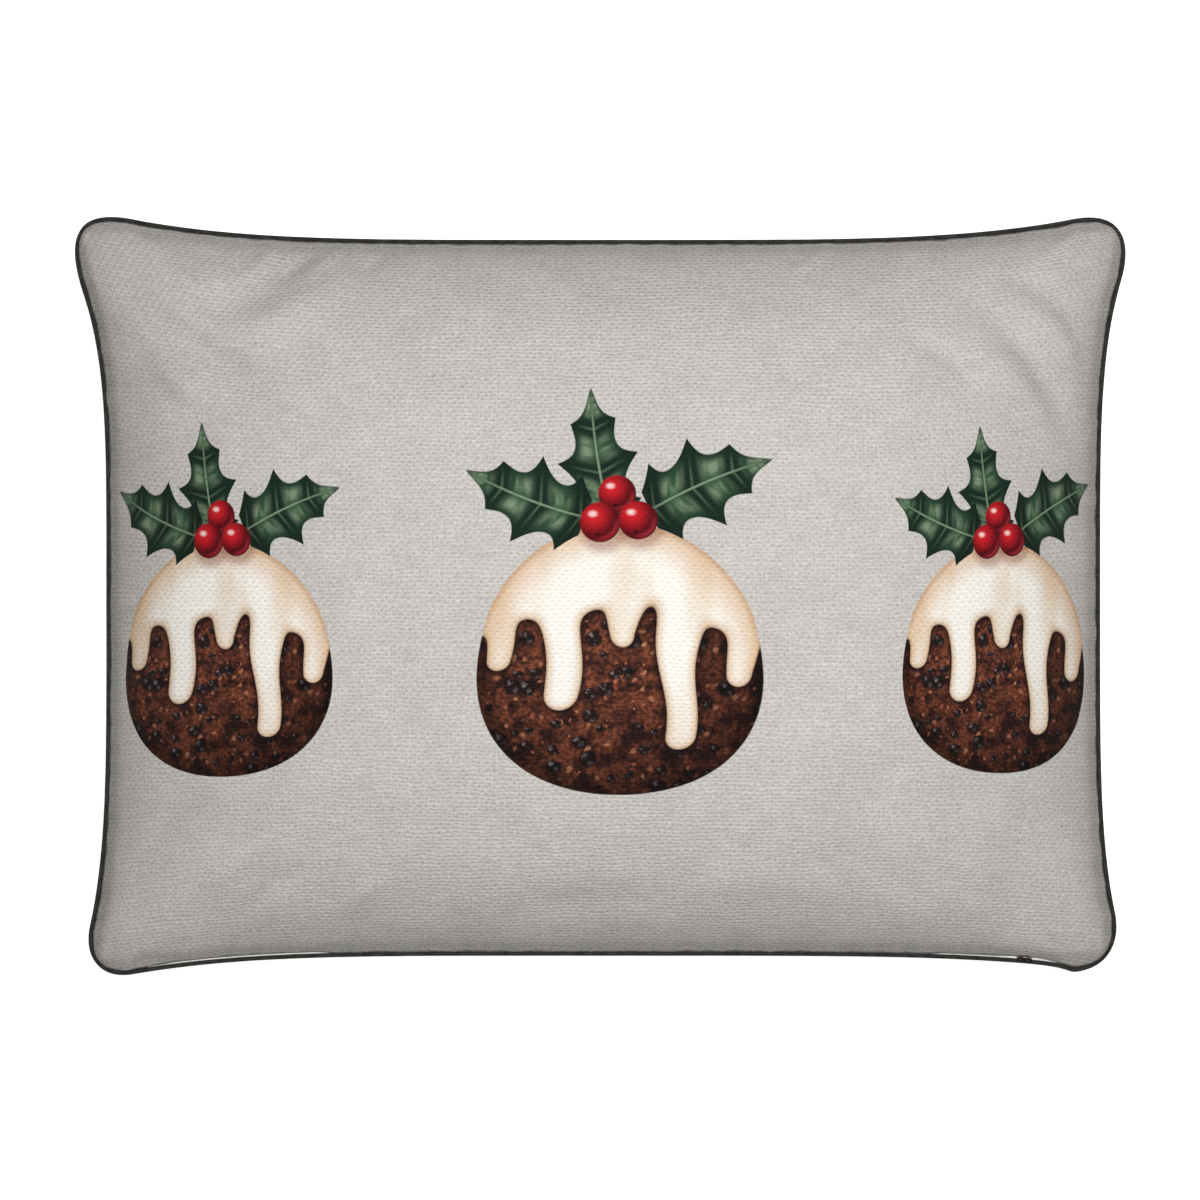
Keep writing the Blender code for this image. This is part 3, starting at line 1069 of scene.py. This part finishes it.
def piping_material():
    """Charcoal cotton, woven on the bias round the cord."""
    made, tree, shader = material_with("piping_bias")
    along, turn, _ = parts_of(attribute(tree, "woven"))
    along = along * 1000.0
    slant = along / 0.55
    wound = turn * (6.6 / 0.55)
    first = ((slant + wound) * math.pi).cos()
    second = ((slant - wound) * math.pi).cos()
    height = first * second * 0.5 + 0.5
    worn = noise_value(along, turn * 6.6, 5.0, 3.0, 12.0, 2.0)
    colour = mixed(ramp(worn, 0.3, 0.75), srgb(42, 41, 39), srgb(58, 57, 55))
    feed(times(colour, ramp(height, 0.0, 1.0, 0.75, 1.15)), shader.inputs["Base Color"])
    feed(ramp(height, 0.0, 1.0, 0.95, 0.80), shader.inputs["Roughness"])
    feed(bumped(height, 0.00008), shader.inputs["Normal"])
    shader.inputs["Specular IOR Level"].default_value = 0.2
    shader.inputs["Sheen Weight"].default_value = 0.03
    return made


def tape_material(name):
    """Off-white polyester, with the fine ribs that it is woven in."""
    made, tree, shader = material_with(name)
    node = tree.nodes.new("ShaderNodeTexCoord")
    x, y, z = [part * 1000.0 for part in parts_of(Value(tree, node.outputs["Object"]))]
    ribs = (x * (math.pi / 0.45)).cos() * 0.5 + 0.5
    soil = noise_value(x, y + z, 7.0, 2.0, 13.0, 2.0)
    colour = mixed(ramp(soil, 0.3, 0.8), srgb(243, 241, 236), srgb(226, 223, 216))
    feed(times(colour, ribs * 0.12 + 0.90), shader.inputs["Base Color"])
    feed(ribs * -0.15 + 0.80, shader.inputs["Roughness"])
    feed(bumped(ribs, 0.00006), shader.inputs["Normal"])
    return made


def zip_metal_material():
    """Dark enamel, rubbed thin on its high spots."""
    made, tree, shader = material_with("zip_enamel")
    node = tree.nodes.new("ShaderNodeTexCoord")
    x, y, z = [part * 1000.0 for part in parts_of(Value(tree, node.outputs["Object"]))]
    worn = noise_value(x, y, 0.9, 0.7, 14.0, 3.0)
    colour = mixed(ramp(worn, 0.55, 0.75), srgb(28, 26, 24), srgb(86, 74, 58))
    feed(colour, shader.inputs["Base Color"])
    feed(ramp(worn, 0.3, 0.7, 0.32, 0.5), shader.inputs["Roughness"])
    shader.inputs["Metallic"].default_value = 0.8
    feed(bumped(worn, 0.00003), shader.inputs["Normal"])
    return made


def printed_faces(mesh):
    """For each face, whether it is near enough to a pudding to be given the print."""
    places = np.empty(3 * len(mesh.vertices), np.float32)
    mesh.attributes["flat"].data.foreach_get("vector", places)
    first = np.empty(len(mesh.polygons), np.int32)
    mesh.polygons.foreach_get("loop_start", first)
    x, y, _ = places.reshape(-1, 3)[corner_vertices(mesh)[first]].T * 1000
    near = np.zeros(len(first), bool)
    for middle_x, middle_y, wide, high in PUDDINGS.values():
        across, up = (x - middle_x) / wide, (y - middle_y) / high
        near |= (across > PRINT_LEFT) & (across < PRINT_RIGHT) & (up > PRINT_LOW) & (up < PRINT_HIGH)
    return near


def put(obj, made):
    obj.data.materials.clear()
    obj.data.materials.append(made)


BACKDROP_GLOW = 0.6
SKY_FILL, SKY_SEEN = 0.11, 1.1
LAMP_PLACE, LAMP_WIDTH, LAMP_POWER = (0.075, 0.09, 1.30), 0.45, 14.8


def seen_directly(tree):
    """1 for what the camera sees itself, and 0 for what only lights other things."""
    return Value(tree, tree.nodes.new("ShaderNodeLightPath").outputs["Is Camera Ray"])


def make_floor():
    size = 0.65
    corners = np.array([[-size, -size, 0], [size, -size, 0], [size, size, 0], [-size, size, 0]])
    floor = new_object("floor", corners, [[0, 1, 2, 3]])
    made, tree, shader = material_with("floor_paper")
    shader.inputs["Base Color"].default_value = (0.95, 0.95, 0.95, 1)
    shader.inputs["Roughness"].default_value = 0.9
    # The paper is lit a little more than the cushion, as a photographer's backdrop is.
    shader.inputs["Emission Color"].default_value = (1, 1, 1, 1)
    feed(seen_directly(tree) * BACKDROP_GLOW, shader.inputs["Emission Strength"])
    put(floor, made)


def make_lights():
    """A soft lamp over the camera, a little to the right and to the top of the print."""
    world = bpy.data.worlds.new("studio")
    world.use_nodes = True
    tree = world.node_tree
    tree.nodes["Background"].inputs["Color"].default_value = (1, 1, 1, 1)
    strength = seen_directly(tree) * (SKY_SEEN - SKY_FILL) + SKY_FILL
    feed(strength, tree.nodes["Background"].inputs["Strength"])
    bpy.context.scene.world = world
    data = bpy.data.lights.new("overhead", "AREA")
    data.shape = "DISK"
    data.size = LAMP_WIDTH
    data.energy = LAMP_POWER
    lamp = bpy.data.objects.new("overhead", data)
    lamp.location = LAMP_PLACE
    bpy.context.scene.collection.objects.link(lamp)


def make_camera():
    data = bpy.data.cameras.new("camera")
    camera = bpy.data.objects.new("camera", data)
    distance_to_seam = 1.0
    view_width = 0.5690
    camera.location = (-0.0001, -0.0019, SEAM_Z + distance_to_seam)
    data.sensor_width = 36.0
    data.lens = data.sensor_width * distance_to_seam / view_width
    bpy.context.scene.collection.objects.link(camera)
    bpy.context.scene.camera = camera


make_camera()
make_floor()
make_lights()
bpy.context.scene.view_settings.view_transform = "Standard"

cover_front, cover_back = make_cover()
plain = cover_material("cover_plain", False)
put(cover_front, plain)
put(cover_back, plain)
cover_front.data.materials.append(cover_material("cover_print", True))
cover_front.data.polygons.foreach_set("material_index", printed_faces(cover_front.data).astype(np.int32))
for panel in (cover_front, cover_back):
    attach(panel, "root")
    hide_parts("cover")

piping = make_piping()
put(piping, piping_material())
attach(piping, "root")
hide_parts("piping")

tape_finish = tape_material("zip_polyester")
for piece in (make_tape(), make_coil()):
    put(piece, tape_finish)
    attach(piece, "root")
    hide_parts("zip_tape")

enamel = zip_metal_material()
slider_box, pull_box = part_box("zip_slider"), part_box("zip_pull")
ahead = sum(map(Vector, pull_box), Vector()) - sum(map(Vector, slider_box), Vector())
metal = [(piece, "zip_slider", 0.0, 0.0) for piece in make_slider()]
metal.append((make_pull(), "zip_pull", PULL_BACK, PULL_UP))
for piece, node, back, up in metal:
    put(laid_on_zip(piece, node, ahead, back, up), enamel)
    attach(piece, "root")
    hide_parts(node)
